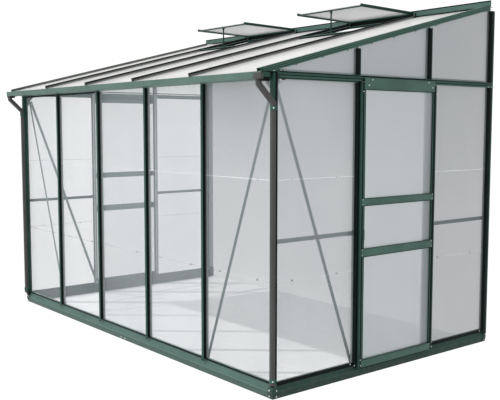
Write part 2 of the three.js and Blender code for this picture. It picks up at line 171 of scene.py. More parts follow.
def paint(name, colour, vary=0.16, rough=(0.36, 0.5), spec=0.35, grime=True, grain=(1, 1, 1), low=None, inner=None):
    """Powder coat or moulded finish: soft cloudy tone, drawn-length streaks, orange-peel bump, dust low down."""
    m, nt, bsdf, vec = new_mat(name)
    base = list(colour)
    dark = [c * (1 - vary) for c in base]
    light = [min(1.0, c * (1 + vary)) for c in base]
    cloud = noise(nt, vec, 5.0, 3.0, 0.6, stretch=grain)
    col = mix_colour(nt, ramp(nt, cloud, 0.3, 0.7, 0, 1), dark, light)
    speck = noise(nt, vec, 260.0, 2.0, 0.5)
    col = mix_colour(nt, ramp(nt, speck, 0.62, 0.8, 0, 0.35), col, [min(1.0, c * 1.5 + 0.01) for c in base])
    if low:
        # painted shade: the face is darker below the given height, with a painted highlight along the line between the
        # halves
        z = axis(nt, vec, "Z")
        col = mix_colour(nt, ramp(nt, z, low[0] + 0.001, low[0] - 0.001, 0, 1), col, [c * low[1] for c in base])
        bend_highlight = math_node(nt, "MULTIPLY", ramp(nt, z, low[0] - 0.001, low[0], 0, 1), ramp(nt, z, low[0] + 0.005, low[0] + 0.004, 0, 1))
        col = mix_colour(nt, bend_highlight, col, [min(1.0, c * 1.35) for c in base])
    if inner:
        # the faces turned to the inside of the house get a paler colour than the outside faces
        which, limit, sense, pale = inner
        q = axis(nt, vec, which)
        if which == "X":
            q = math_node(nt, "ABSOLUTE", q)
        col = mix_colour(nt, ramp(nt, q, limit, limit + 0.002 * sense, 0, 1), col, pale)
    if grime:
        z = axis(nt, vec, "Z")
        foot = ramp(nt, z, 0.0, 0.09, 0.2, 0.0)
        dust = math_node(nt, "MULTIPLY", foot, ramp(nt, noise(nt, vec, 30.0, 4.0), 0.4, 0.7, 0, 0.35))
        col = mix_colour(nt, dust, col, srgb(150, 148, 136))
    nt.links.new(col, bsdf.inputs["Base Color"])
    nt.links.new(ramp(nt, noise(nt, vec, 14.0, 3.0), 0.3, 0.7, *rough), bsdf.inputs["Roughness"])
    bsdf.inputs["Specular IOR Level"].default_value = spec
    bump(nt, bsdf, noise(nt, vec, 700.0, 1.0), 0.12, 0.0004)
    return m


def metal(name, colour, rough=(0.22, 0.36), metallic=0.8):
    m, nt, bsdf, vec = new_mat(name)
    col = mix_colour(nt, ramp(nt, noise(nt, vec, 120.0, 3.0), 0.35, 0.7, 0, 1), colour, [c * 0.72 for c in colour])
    nt.links.new(col, bsdf.inputs["Base Color"])
    nt.links.new(ramp(nt, noise(nt, vec, 300.0, 2.0), 0.3, 0.7, *rough), bsdf.inputs["Roughness"])
    bsdf.inputs["Metallic"].default_value = metallic
    bump(nt, bsdf, noise(nt, vec, 900.0, 1.0), 0.06, 0.0002)
    return m


def curve(nt, fac, points):
    """Smooth curve through (position 0..1, value) points."""
    n = nt.nodes.new("ShaderNodeValToRGB")
    els = n.color_ramp.elements
    while len(els) < len(points):
        els.new(0.5)
    for e, (h, a) in zip(els, points):
        e.position = h
        e.color = (a, a, a, 1)
    nt.links.new(fac, n.inputs[0])
    return n.outputs[0]


def glass(name, tone, through, metallic=0.86, rough=0.42, streak=(1, 1, 1), amount=0.03, drift=0.05, wave=False, face_on=None):
    """Thin pane. through is how much light one whole pane lets by, a number or [(z, value), ...] from the ground up, a
    grading by height that is painted reflection and shade;
    the rest is a sheen that mirrors what stands in front of the pane, its strength set per copy by tone as painted
    reflection. Both faces of the pane carry half of it."""
    m, nt, bsdf, vec = new_mat(name)
    wisp = noise(nt, vec, 1.3, 4.0, 0.55, stretch=streak)
    col = mix_colour(nt, ramp(nt, wisp, 0.3, 0.7, 0, 1), [c * (1 - drift) for c in tone], [min(1.0, c * (1 + drift)) for c in tone])
    if face_on:
        # painted sheen: the pane's colour is paler at a glancing angle than face on
        lw = nt.nodes.new("ShaderNodeLayerWeight")
        lw.inputs["Blend"].default_value = 0.5
        col = mix_colour(nt, ramp(nt, lw.outputs["Facing"], 0.45, 0.85, 0, 1), face_on, col)
    nt.links.new(col, bsdf.inputs["Base Color"])
    ripple = ramp(nt, noise(nt, vec, 2.2, 3.0, 0.5, stretch=streak), 0.3, 0.7, -amount, amount)
    if isinstance(through, (int, float)):
        a = math_node(nt, "ADD", ripple, 1 - math.sqrt(through))
    else:
        z = ramp(nt, axis(nt, vec, "Z"), 0, 2.3, 0, 1)
        a = math_node(nt, "ADD", ripple, curve(nt, z, [(h / 2.3, 1 - math.sqrt(t)) for h, t in through]))
    nt.links.new(math_node(nt, "MINIMUM", math_node(nt, "MAXIMUM", a, 0.02), 0.97), bsdf.inputs["Alpha"])
    bsdf.inputs["Metallic"].default_value = metallic
    bsdf.inputs["Roughness"].default_value = rough
    bsdf.inputs["IOR"].default_value = 1.45
    bsdf.inputs["Specular IOR Level"].default_value = 0.4
    if wave:
        bump(nt, bsdf, noise(nt, vec, 3.0, 1.0), 0.02, 0.002)
    return m


def sky(k):
    """Sheen colour of strength k, a little cool."""
    return [k * 0.90, k * 0.975, k * 1.02]


G_BAR = paint("bar_green", srgb(34, 68, 58), spec=0.25)
G_BAR_FRONT = paint("front_bar_green", srgb(34, 68, 58), spec=0.25, inner=("Y", -0.8675, 1, srgb(158, 165, 163)))
G_BAR_GABLE = paint("gable_bar_green", srgb(34, 68, 58), spec=0.25, inner=("X", 1.5445, -1, srgb(150, 157, 155)))
G_POST = paint("post_green", srgb(34, 70, 60), spec=0.25)
G_WALL_POST = paint("wall_post_green", srgb(34, 68, 58), spec=0.25, inner=("X", 1.5445, -1, srgb(150, 157, 155)))
G_VERGE = paint("verge_green", srgb(61, 95, 84), spec=0.3, grain=(0.3, 0.3, 0.3))
G_VENT = paint("vent_green", srgb(33, 62, 53), spec=0.2)
G_ROOF = paint("roof_bar_grey", srgb(98, 100, 98), spec=0.15)
G_PALE = paint("gutter_green", srgb(78, 104, 95), spec=0.3, grime=False)
# the base greens carry the painted shade on their lower half and the painted highlight between the halves
G_BASE = paint("base_green", srgb(70, 96, 89), spec=0.2, rough=(0.34, 0.46), low=(0.037, 0.78))
# a darker copy of the base green for the side bases, their corners and ends: painted shade
G_BASE_SHADED = paint("base_side_shaded_green", srgb(44, 66, 60), spec=0.12, rough=(0.34, 0.46), low=(0.037, 0.86))
G_RIDGE = paint("ridge_green", srgb(70, 98, 91), spec=0.3, grime=False)
G_RAIL = paint("rail_green", srgb(60, 90, 81), spec=0.2)
G_DOOR = paint("door_green", srgb(66, 96, 87), spec=0.3)
G_STILE = paint("stile_green", srgb(46, 76, 68), spec=0.3)
G_INNER = paint("inner_green", srgb(58, 82, 76), spec=0.3)
# a paler copy of the brace green for the far gable's braces: painted sheen of the glass they are seen through; the
# verge bolts share it
G_FAR_BRACE = paint("far_brace_green", srgb(104, 118, 115), spec=0.3)
G_CLIP = paint("clip_green", srgb(38, 82, 70), spec=0.4, grime=False)
BLACK = paint("seal_black", srgb(12, 20, 19), spec=0.08, rough=(0.35, 0.46), vary=0.1)
RUBBER = paint("seal_rubber", srgb(17, 22, 22), spec=0.08, rough=(0.45, 0.6), vary=0.1)
PALE_SEAL = paint("seal_pale", srgb(128, 131, 131), spec=0.3, rough=(0.4, 0.55), vary=0.08)
PIPE = paint("pipe_grey", srgb(68, 68, 67), spec=0.35, rough=(0.42, 0.55))
# the inside of the pipes is near black: painted shade in the bore
PIPE_BORE_SHADE = paint("pipe_bore_shade", srgb(12, 12, 12), spec=0.1, grime=False)
ZINC = metal("zinc", (0.9, 0.91, 0.91))
STEEL = metal("bolt_steel", (0.6, 0.62, 0.62))
NYLON = paint("nylon", srgb(225, 225, 220), spec=0.4, vary=0.05, grime=False)
STRIP = glass("joint_strip", (0.82, 0.84, 0.84), 0.6, metallic=0.0, rough=0.3)
# a darker copy of the joint strip for the lowest joints: painted shade
STRIP_SHADED = glass("joint_strip_low_shaded", (0.5, 0.52, 0.52), 0.74, metallic=0.0, rough=0.3)
CLIP_DARK = paint("clip_shaded", srgb(62, 66, 66), spec=0.3, vary=0.05, grime=False)
# the pane copies below differ by where they stand, in tone and in how much they let through, some graded by height:
# painted reflection and shade, darker on the near front bay and the near gable's rear, brighter on the far front bays
# and the far gable
FRONT_GLASS = glass("glass_front", sky(0.56), 0.47, streak=(0.6, 1, 0.35))
FRONT_FAR = glass("glass_front_far", sky(0.62), 0.6, streak=(0.6, 1, 0.35))
FRONT_NEAR = glass("glass_front_near", sky(0.41), [(0.08, 0.54), (0.35, 0.48), (0.7, 0.4), (1.15, 0.35), (1.66, 0.2)], streak=(0.6, 1, 0.35))
GABLE_GLASS = glass("glass_gable", sky(0.52), [(0.08, 0.57), (0.3, 0.44), (0.6, 0.35), (1.1, 0.32), (1.6, 0.21), (1.76, 0.13), (2.2, 0.2)], streak=(1, 0.7, 0.3))
GABLE_REAR = glass("glass_gable_rear", sky(0.38), [(0.08, 0.33), (0.9, 0.33), (1.6, 0.26), (2.2, 0.22)], streak=(1, 0.7, 0.3))
DOOR_GLASS = glass("glass_door", sky(0.61), [(0.08, 0.25), (0.5, 0.25), (1.1, 0.24), (1.6, 0.18)], streak=(1, 0.7, 0.3))
FAR_GLASS = glass("glass_far", sky(0.8), 0.9, streak=(1, 0.7, 0.35), amount=0.01)
# the roof and vent panes are an almost opaque pale tone: painted reflection of the sky
ROOF_GLASS = glass("glass_roof", (0.73, 0.73, 0.715), 0.05, metallic=0.0, rough=0.2, streak=(1.6, 0.3, 0.3), amount=0.04, face_on=(0.47, 0.48, 0.48))
VENT_GLASS = glass("glass_vent", (0.6, 0.6, 0.6), 0.12, metallic=0.0, rough=0.35, streak=(1.0, 0.5, 0.5), amount=0.04, wave=False, face_on=(0.44, 0.45, 0.45))


# ---------------------------------------------------------------- mesh builder
def end_of(e):
    return e if callable(e) else (lambda u, v: e)


def roof_point(n, x, w):
    return P(x, w * math.cos(PITCH) - n * math.sin(PITCH), ROOF_Z0 + w * math.sin(PITCH) + n * math.cos(PITCH))


RUN = {
    "x": lambda u, v, w: P(w, u, v),      # outline in (y, z)
    "y": lambda u, v, w: P(u, w, v),      # outline in (x, z)
    "z": lambda u, v, w: P(u, v, w),      # outline in (x, y)
    "roof": lambda u, v, w: roof_point(u, v, w),   # outline in (n, x)
}


class Part:
    """Collects closed solids, each with one material index, for one piece."""

    def __init__(self, mirror=False, place=None):
        self.v, self.f, self.m = [], [], []
        self.mirror, self.place = mirror, place

    def _add(self, pts, faces, mat):
        o = len(self.v)
        for p in pts:
            if self.place:
                p = self.place(p)
            if self.mirror:
                p = Vector(((2 * OX - LENGTH) / 1000 - p[0], p[1], p[2]))
            self.v.append(tuple(p))
        for f in faces:
            self.f.append([o + i for i in f])
            self.m.append(mat)

    def section(self, run, outline, a, b, mat=0, steps=None):
        """A drawn section between w = a and w = b."""
        fn = RUN[run] if isinstance(run, str) else run
        ea, eb = end_of(a), end_of(b)
        n = len(outline)
        rings = [[fn(u, v, ea(u, v)) for u, v in outline]]
        for s in (steps or []):
            rings.append([fn(u, v, s) for u, v in outline])
        rings.append([fn(u, v, eb(u, v)) for u, v in outline])
        pts = [p for r in rings for p in r]
        faces = []
        for k in range(len(rings) - 1):
            for i in range(n):
                j = (i + 1) % n
                faces.append([k * n + i, k * n + j, (k + 1) * n + j, (k + 1) * n + i])
        faces.append(list(range(n)))
        faces.append([(len(rings) - 1) * n + i for i in range(n)])
        self._add(pts, faces, mat)
        return self

    def box(self, x0, x1, y0, y1, z0, z1, mat=0):
        return self.section("z", [(x0, y0), (x1, y0), (x1, y1), (x0, y1)], z0, z1, mat)

    def tube(self, path, radius, bore, sides=28, mat=0, inner=None):
        """A pipe along a path of points in mm; bore None makes it solid."""
        pts = [Vector(p) for p in path]
        rings_o, rings_i = [], []
        up = Vector((0.31, 0.87, 0.38))
        for i, p in enumerate(pts):
            if i == 0:
                t = (pts[1] - pts[0]).normalized()
            elif i == len(pts) - 1:
                t = (pts[-1] - pts[-2]).normalized()
            else:
                t = ((pts[i + 1] - p).normalized() + (p - pts[i - 1]).normalized()).normalized()
            s = (up - up.dot(t) * t).normalized()
            q = t.cross(s)
            up = s
            k = 1.0
            if 0 < i < len(pts) - 1:
                k = 1.0 / max(0.75, t.dot((pts[i + 1] - p).normalized()))
            bend = None
            if k > 1.0001:
                d = ((pts[i + 1] - p).normalized() - (p - pts[i - 1]).normalized())
                bend = (d - d.dot(t) * t)
                bend = bend.normalized() if bend.length > 1e-6 else None
            for rad, rings in ((radius, rings_o), (bore, rings_i)):
                if rad is None:
                    continue
                ring = []
                for j in range(sides):
                    a = 2 * math.pi * j / sides
                    off = (s * math.cos(a) + q * math.sin(a)) * rad
                    if bend is not None:
                        off = off + bend * off.dot(bend) * (k - 1)
                    w = p + off
                    ring.append(P(*w))
                rings.append(ring)
        n = len(pts)
        if bore is None:
            v = [p for r in rings_o for p in r]
            faces = [[k * sides + i, k * sides + (i + 1) % sides, (k + 1) * sides + (i + 1) % sides, (k + 1) * sides + i] for k in range(n - 1) for i in range(sides)]
            faces += [list(range(sides)), [(n - 1) * sides + i for i in range(sides)]]
            self._add(v, faces, mat)
            return self
        v = [p for r in rings_o for p in r] + [p for r in rings_i for p in r]
        off = n * sides
        faces, inn = [], []
        for k in range(n - 1):
            for i in range(sides):
                j = (i + 1) % sides
                faces.append([k * sides + i, k * sides + j, (k + 1) * sides + j, (k + 1) * sides + i])
                inn.append([off + k * sides + j, off + k * sides + i, off + (k + 1) * sides + i, off + (k + 1) * sides + j])
        for k in (0, n - 1):
            for i in range(sides):
                j = (i + 1) % sides
                faces.append([k * sides + i, k * sides + j, off + k * sides + j, off + k * sides + i])
        o = len(self.v)
        self._add(v, faces, mat)
        for f in inn:
            self.f.append([o + i for i in f])
            self.m.append(mat if inner is None else inner)
        return self

    def lathe(self, centre, normal, profile, sides=16, mat=0, turn=0.0):
        """A turned solid: profile is [(radius, height), ...] along normal from centre, ends on the axis."""
        c, nrm = Vector(centre), Vector(normal).normalized()
        ref = Vector((0, 0, 1)) if abs(nrm.z) < 0.9 else Vector((1, 0, 0))
        s = nrm.cross(ref).normalized()
        q = nrm.cross(s)
        pts, faces = [], []
        rows = []
        for r, h in profile:
            if r <= 1e-6:
                rows.append([len(pts)])
                pts.append(P(*(c + nrm * h)))
            else:
                row = []
                for j in range(sides):
                    a = 2 * math.pi * j / sides + turn
                    row.append(len(pts))
                    pts.append(P(*(c + nrm * h + (s * math.cos(a) + q * math.sin(a)) * r)))
                rows.append(row)
        for a, b in zip(rows, rows[1:]):
            for j in range(sides):
                k = (j + 1) % sides
                if len(a) == 1:
                    faces.append([a[0], b[k], b[j]])
                elif len(b) == 1:
                    faces.append([a[j], a[k], b[0]])
                else:
                    faces.append([a[j], a[k], b[k], b[j]])
        self._add(pts, faces, mat)
        return self

    def screw(self, centre, normal, r=4.2, h=2.6, mat=0):
        """Pan-head screw with a driver recess, standing 0.1 mm off the face it holds."""
        return self.lathe(centre, normal, [(0, 0.1), (r, 0.1), (r, h * 0.4), (r * 0.86, h * 0.8), (r * 0.5, h), (r * 0.3, h), (r * 0.2, h * 0.45), (0, h * 0.4)], 14, mat)

    def bolt(self, centre, normal, r=6.0, h=4.5, mat=0, washer=True, turn=0.3):
        """Hexagon head on a washer."""
        b = 0.1
        if washer:
            self.lathe(centre, normal, [(0, 0.1), (r * 1.45, 0.1), (r * 1.45, 1.1), (0, 1.1)], 18, mat)
            b = 1.2
        return self.lathe(centre, normal, [(0, b), (r, b), (r, b + h * 0.75), (r * 0.86, b + h), (0, b + h)], 6, mat, turn)


def finish_mesh(o, bevel=0.0, segments=2, sharp=38.0):
    me = o.data
    bm = bmesh.new()
    bm.from_mesh(me)
    bmesh.ops.remove_doubles(bm, verts=bm.verts, dist=1e-6)
    bmesh.ops.recalc_face_normals(bm, faces=bm.faces)
    bm.to_mesh(me)
    bm.free()
    if bevel > 0:
        mod = o.modifiers.new("edge", "BEVEL")
        mod.width = bevel / 1000.0
        mod.segments = segments
        mod.limit_method = "ANGLE"
        mod.angle_limit = math.radians(30)
        mod.use_clamp_overlap = True
        mod.harden_normals = False
        dg = bpy.context.evaluated_depsgraph_get()
        new = bpy.data.meshes.new_from_object(o.evaluated_get(dg))
        o.modifiers.clear()
        old = o.data
        o.data = new
        bpy.data.meshes.remove(old)
        new.name = o.name
    bm = bmesh.new()
    bm.from_mesh(o.data)
    lim = math.radians(sharp)
    for e in bm.edges:
        e.smooth = len(e.link_faces) == 2 and e.calc_face_angle(0.0) < lim
    for f in bm.faces:
        f.smooth = True
    bm.to_mesh(o.data)
    bm.free()


def make(name, part, body, mats, bevel=0.0, segments=2, replaces=(), shadow=True):
    me = bpy.data.meshes.new(name)
    me.from_pydata(part.v, [], part.f)
    for m in mats:
        me.materials.append(m)
    me.polygons.foreach_set("material_index", part.m)
    me.update()
    o = bpy.data.objects.new(name, me)
    bpy.context.scene.collection.objects.link(o)
    finish_mesh(o, bevel, segments)
    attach(o, body)
    if replaces:
        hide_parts(*replaces)
    if not shadow:
        o.visible_shadow = False
        o.visible_diffuse = False
    return o


def dress(node, *mats):
    me = nodes[node].data
    me.materials.clear()
    for m in mats:
        me.materials.append(m)


SIDES = (("right", False), ("left", True))

# ---------------------------------------------------------------- CAD nodes that stay
for s, _ in SIDES:
    dress(f"base_front_{s}", G_BASE)
    dress(f"base_side_{s}", G_BASE_SHADED)
    dress(f"corner_post_{s}", G_POST)
    dress(f"wall_post_{s}", G_WALL_POST)
    dress(f"verge_bar_{s}", G_VERGE)
    dress(f"gable_rail_{s}", G_RAIL)
    for end in ("front", "rear"):
        dress(f"gable_mid_rail_{s}_{end}", G_INNER)
    # the far gable's braces take the paler copy: painted sheen
    dress(f"brace_front_{s}", G_INNER if s == "right" else G_FAR_BRACE)
    dress(f"brace_gable_{s}", G_INNER if s == "right" else G_FAR_BRACE)
    for k in (1, 2):
        dress(f"gable_upright_{s}_{k}", G_BAR_GABLE)
for k in range(1, 5):
    dress(f"front_bar_{k}", G_BAR_FRONT)
    dress(f"roof_bar_{k}", G_ROOF)
dress("eave_gutter", G_PALE)
dress("ridge_bar", G_RIDGE)
for i in (1, 2):
    dress(f"vent_stay_{i}", G_VENT)
for k in range(1, 6):
    dress(f"roof_glass_{k}", ROOF_GLASS)
    nodes[f"roof_glass_{k}"].visible_diffuse = False

# ---------------------------------------------------------------- panes in tiers, with joint strips and clips
TIERS = (622.0, 1163.0)
EAVE_GLASS_TOP = 1696.6
EDGE_GAP = 3.8


def tiers(part, lo, hi, flat, z0, ztop):
    """Three panes one above another. flat(a, z) gives a point in the pane's plane at the outer face, depth 3 mm."""
    levels = [z0, *[t for t in TIERS if z0 < t < ztop(lo) - 50], None]
    for i in range(len(levels) - 1):
        a = levels[i] + (0.6 if i else 0.0)
        top = levels[i + 1]
        tl, th = (ztop(lo), ztop(hi)) if top is None else (top - 0.6, top - 0.6)
        ring = [(lo, a), (hi, a), (hi, th), (lo, tl)]
        flat(part, ring)


def strips(part, lo, hi, place):
    for t in TIERS:
        place(part, lo + 0.5, hi - 0.5, t)


clips_front, clips_gable = Part(), {"right": Part(), "left": Part(mirror=True)}
joint_front, joint_gable = Part(), {"right": Part(), "left": Part(mirror=True)}
for k in range(1, 6):
    x1 = -16.3 if k == 1 else -BAY * (k - 1) - EDGE_GAP
    x0 = -LENGTH + 16.3 if k == 5 else -BAY * k + EDGE_GAP
    p = Part()
    tiers(p, x0, x1, lambda q, ring: q.section("y", ring, 10.5, 13.5, 0), 86.4, lambda a: EAVE_GLASS_TOP)
    make(f"front_panes_{k}", p, "frame", [FRONT_NEAR if k == 1 else FRONT_GLASS if k < 4 else FRONT_FAR], bevel=0.4, segments=1, replaces=[f"front_glass_{k}"], shadow=False)
    # the lowest joint strips and clips take the darker copies: painted shade
    for t in TIERS:
        a, b = x0 + (8 if k < 5 else 6), x1 - (8 if k > 1 else 6)
        joint_front.section("x", [(9.7, t - 2.2), (10.3, t - 2.2), (10.3, t + 2.2), (9.7, t + 2.2)], a, b, int(t < 700))
        xc = -BAY * (k - 0.5)
        for dx in (-168, 168):
            clips_front.section("x", [(8.3, t - 4.4), (9.5, t - 5), (9.5, t + 5), (8.3, t + 4.4)], xc + dx - 2.2, xc + dx + 2.2, int(t < 700))
            clips_front.section("x", [(14.5, t - 5), (15.6, t - 5), (15.6, t + 4), (14.5, t + 4)], xc + dx - 2.2, xc + dx + 2.2, int(t < 700))
make("pane_joints_front", joint_front, "frame", [STRIP, STRIP_SHADED], shadow=False)
make("pane_clips_front", clips_front, "frame", [STEEL, CLIP_DARK], bevel=0.3, segments=1)


def gable_top(y):
    return roof_z(y, -7.6 / math.cos(PITCH)) - 0.4


for side, mir in SIDES:
    for tail, y0, y1 in (("front", 20.4, BAY - EDGE_GAP), ("rear", 2 * BAY + EDGE_GAP, 1845.6)):
        gm = FAR_GLASS if side == "left" else GABLE_GLASS if tail == "front" else GABLE_REAR
        p = Part(mirror=mir)
        tiers(p, y0, y1, lambda q, ring: q.section("x", ring, -13.5, -10.5, 0), 86.4, gable_top)
        make(f"gable_panes_{side}_{tail}", p, "frame", [gm], bevel=0.4, segments=1, replaces=[f"gable_glass_{side}_{tail}"], shadow=False)
        yc = BAY * 0.5 if tail == "front" else 2.5 * BAY - 15
        # the lowest joint strips and clips take the darker copies: painted shade
        for t in TIERS:
            joint_gable[side].section("y", [(-10.3, t - 2.2), (-9.7, t - 2.2), (-9.7, t + 2.2), (-10.3, t + 2.2)], y0 + 8, y1 - 8, int(t < 700))
            for dy in (-168, 168):
                clips_gable[side].section("y", [(-9.5, t - 5), (-8.3, t - 4.4), (-8.3, t + 4.4), (-9.5, t + 5)], yc + dy - 2.2, yc + dy + 2.2, int(t < 700))
                clips_gable[side].section("y", [(-15.6, t - 5), (-14.5, t - 5), (-14.5, t + 4), (-15.6, t + 4)], yc + dy - 2.2, yc + dy + 2.2, int(t < 700))
    p = Part(mirror=mir)
    ya, yb = BAY + EDGE_GAP, 2 * BAY - EDGE_GAP
    p.section("x", [(ya, 1696.2), (yb, 1696.2), (yb, gable_top(yb)), (ya, gable_top(ya))], -13.5, -10.5)
    make(f"over_door_pane_{side}", p, "frame", [GABLE_GLASS if side == "right" else FAR_GLASS], bevel=0.4, segments=1, replaces=[f"gable_glass_{side}_over_door"], shadow=False)
    make(f"pane_joints_gable_{side}", joint_gable[side], "frame", [STRIP, STRIP_SHADED], shadow=False)
    make(f"pane_clips_gable_{side}", clips_gable[side], "frame", [STEEL, CLIP_DARK], bevel=0.3, segments=1)

# ---------------------------------------------------------------- capping and seal strips on the bars, and black strips over the shaded faces of bars and posts: painted shade
cap = [(10.1, -9.4), (10.9, -9.9), (11.9, -9.2), (12.3, -7.0), (12.3, 1.0), (11.9, 3.0), (10.9, 3.6), (10.1, 3.2)]
for side, mir in SIDES:
    for k in (1, 2):
        y0 = BAY * k
        p = Part(mirror=mir)
        top = roof_z(y0 - 10, -14.5) - 9
        p.section("z", [(x, y0 + v) for x, v in cap], 55, top)
        make(f"upright_cap_{side}_{k}", p, "frame", [BLACK], bevel=0.35)
        # black strips over the upright's side faces: painted shade
        p = Part(mirror=mir)
        for sgn in (-1, 1):
            p.section("z", [(-9.3, y0 + sgn * 10.1), (0.5, y0 + sgn * 10.1), (0.5, y0 + sgn * 10.5), (-9.3, y0 + sgn * 10.7)], 87, top)
            p.section("z", [(0.6, y0 + sgn * 10.1), (9.6, y0 + sgn * 10.1), (9.6, y0 + sgn * 10.4), (0.6, y0 + sgn * 10.4)], 87, top, 1)
        make(f"upright_side_shade_{side}_{k}", p, "frame", [BLACK, RUBBER])
    # black strip over the corner post's outer gable face: painted shade
    p = Part(mirror=mir)
    p.section("z", [(10.1, 3.0), (11.0, 3.6), (11.2, 18.5), (10.1, 19.5)], 88, 1722)
    make(f"corner_post_shade_{side}", p, "frame", [BLACK], bevel=0.3)
    # dark strips over the wall post's side and outer faces: painted shade
    p = Part(mirror=mir)
    p.section("z", [(-9.3, 1845.8), (1.5, 1845.8), (1.5, 1845.2), (-9.3, 1844.9)], 87, 2180)
    p.section("z", [(1.6, 1845.8), (9.8, 1845.8), (9.8, 1845.3), (1.6, 1845.3)], 87, 2180, 1)
    p.section("z", [(10.1, 1846.2), (11.2, 1846.8), (11.4, 1866), (10.1, 1867)], 56, 2184, 1)
    make(f"wall_post_shade_{side}", p, "frame", [RUBBER, BLACK])
for k in range(1, 5):
    x0 = -BAY * k
    # dark strips over both side faces of the front bar: painted shade
    p = Part()
    for sgn in (-1, 1):
        p.section("z", [(x0 + sgn * 10.1, -9.4), (x0 + sgn * 10.6, -9.0), (x0 + sgn * 10.6, 3.4), (x0 + sgn * 10.1, 3.8)], 87, 1681)
        p.section("z", [(x0 + sgn * 10.1, 4.0), (x0 + sgn * 10.5, 4.2), (x0 + sgn * 10.5, 9.2), (x0 + sgn * 10.1, 9.4)], 87, 1681, 1)
    make(f"front_bar_side_shade_{k}", p, "frame", [BLACK, RUBBER])
    p = Part()
    p.section("x", [(-10.1, 72.4), (-10.1, 80), (-10.9, 80), (-10.9, 72.8)], x0 - 10, x0 + 10)
    make(f"front_bar_toe_cap_{k}", p, "frame", [BLACK], bevel=0.2, segments=1)
    # dark capping on the roof bar and the seal between bar and pane
    p = Part()
    w0, w1 = -89 / math.cos(PITCH), 1815 / math.cos(PITCH)
    p.section("roof", [(13.6, x0 + 10.1), (20.1, x0 + 10.1), (20.1, x0 - 10.1), (13.6, x0 - 10.1), (13.6, x0 - 10.7), (20.6, x0 - 10.7), (21.0, x0 - 10.2), (21.0, x0 + 10.2), (20.6, x0 + 10.7), (13.6, x0 + 10.7)], w0, w1)
    for sgn in (-1, 1):
        p.section("roof", [(0.2, x0 + sgn * 10.2), (6.6, x0 + sgn * 10.2), (6.0, x0 + sgn * 10.9), (0.2, x0 + sgn * 11.8)], w0 + 3, w1, 1)
    make(f"roof_bar_seal_{k}", p, "frame", [BLACK, PALE_SEAL])

# ---------------------------------------------------------------- base corners, splice, end brackets
def base_skin(off):
    return [(0 - off, 1.0), (-7 - off, 36), (-7 - off, 40), (6 - off, 67.4), (9 - off, 69.6), (9 - off, 85.8)]


base_screws = {"right": Part(), "left": Part(mirror=True)}
for side, mir in SIDES:
    p = Part(mirror=mir)
    skin_o, skin_i = base_skin(2.4), base_skin(0.35)
    outline = skin_o + skin_i[::-1]
    # along the eave: n runs toward +y, mitred on the corner's diagonal; along the gable: n runs toward -x
    p.section("x", [(n, z) for n, z in outline], -34, lambda y, z: -y)
    p.section("y", [(-n, z) for n, z in outline], lambda x, z: -x, 34)
    make(f"base_corner_{side}", p, "frame", [G_BASE_SHADED], bevel=0.5)
    # black strip along the top of the side base: painted shade on its recessed lip
    p = Part(mirror=mir)
    p.section("y", [(-4.9, 65.9), (-4.5, 66.2), (-5.3, 68.4), (-8.0, 70.6), (-8.0, 85.2), (-8.9, 85.8), (-8.9, 70.0), (-5.73, 67.6)], 3, 1880)
    make(f"base_lip_shade_side_{side}", p, "frame", [BLACK], bevel=0.2, segments=1)
    q = base_screws[side]
    for z in (46, 14):
        n = -7 + (z - 40) * 13 / 27 if z > 40 else (-7 * z / 36)
        tilt = Vector((0, -1, 0.45)) if z > 40 else Vector((0, -1, -0.19))
        q.screw((-21, n - 2.4, z), tilt, 4.6, 3.0)
        tilt = Vector((1, 0, 0.45)) if z > 40 else Vector((1, 0, -0.19))
        q.screw((-n + 2.4, 21, z), tilt, 4.6, 3.0)
    # rear end of the side base: an angle bracket against the wall
    p = Part(mirror=mir)
    p.section("y", [(-n, z) for n, z in base_skin(2.2) + base_skin(0.3)[::-1]], 1846, 1881)
    make(f"base_end_{side}", p, "frame", [G_BASE_SHADED], bevel=0.4)
    q.screw((-0.4 + 2.5, 1868, 11), Vector((1, 0, -0.19)), 4.0, 2.8)
    q.screw((-7.2, 1830, 76), Vector((1, 0, 0)), 4.0, 2.8)
    make(f"base_screws_{side}", q, "frame", [ZINC])

# black strip along the top of the front base: painted shade on its recessed lip
p = Part()
p.section("x", [(8.2, 75.6), (8.9, 75.2), (8.9, 85.8), (8.2, 85.4)], -LENGTH + 8.4, -8.4)
make("base_lip_shade_front", p, "frame", [BLACK], bevel=0.2, segments=1)
# splice plate behind the joint of the two front lengths, and its two screws
p = Part()
p.section("x", [(25.2, 4), (27.4, 4), (27.4, 80), (25.2, 80)], -LENGTH / 2 - 60, -LENGTH / 2 + 60)
make("base_splice", p, "frame", [G_BASE], bevel=0.4)
p = Part()
for x in (-1583, -1533):
    p.screw((x, -7 * 15 / 36 - 0.1, 15), Vector((0, -1, -0.19)), 5.0, 3.0)
for x in (-1583, -1533):
    p.bolt((x, 27.5, 15), Vector((0, 1, 0)), 4.6, 3.4)
make("base_splice_screws", p, "frame", [ZINC])

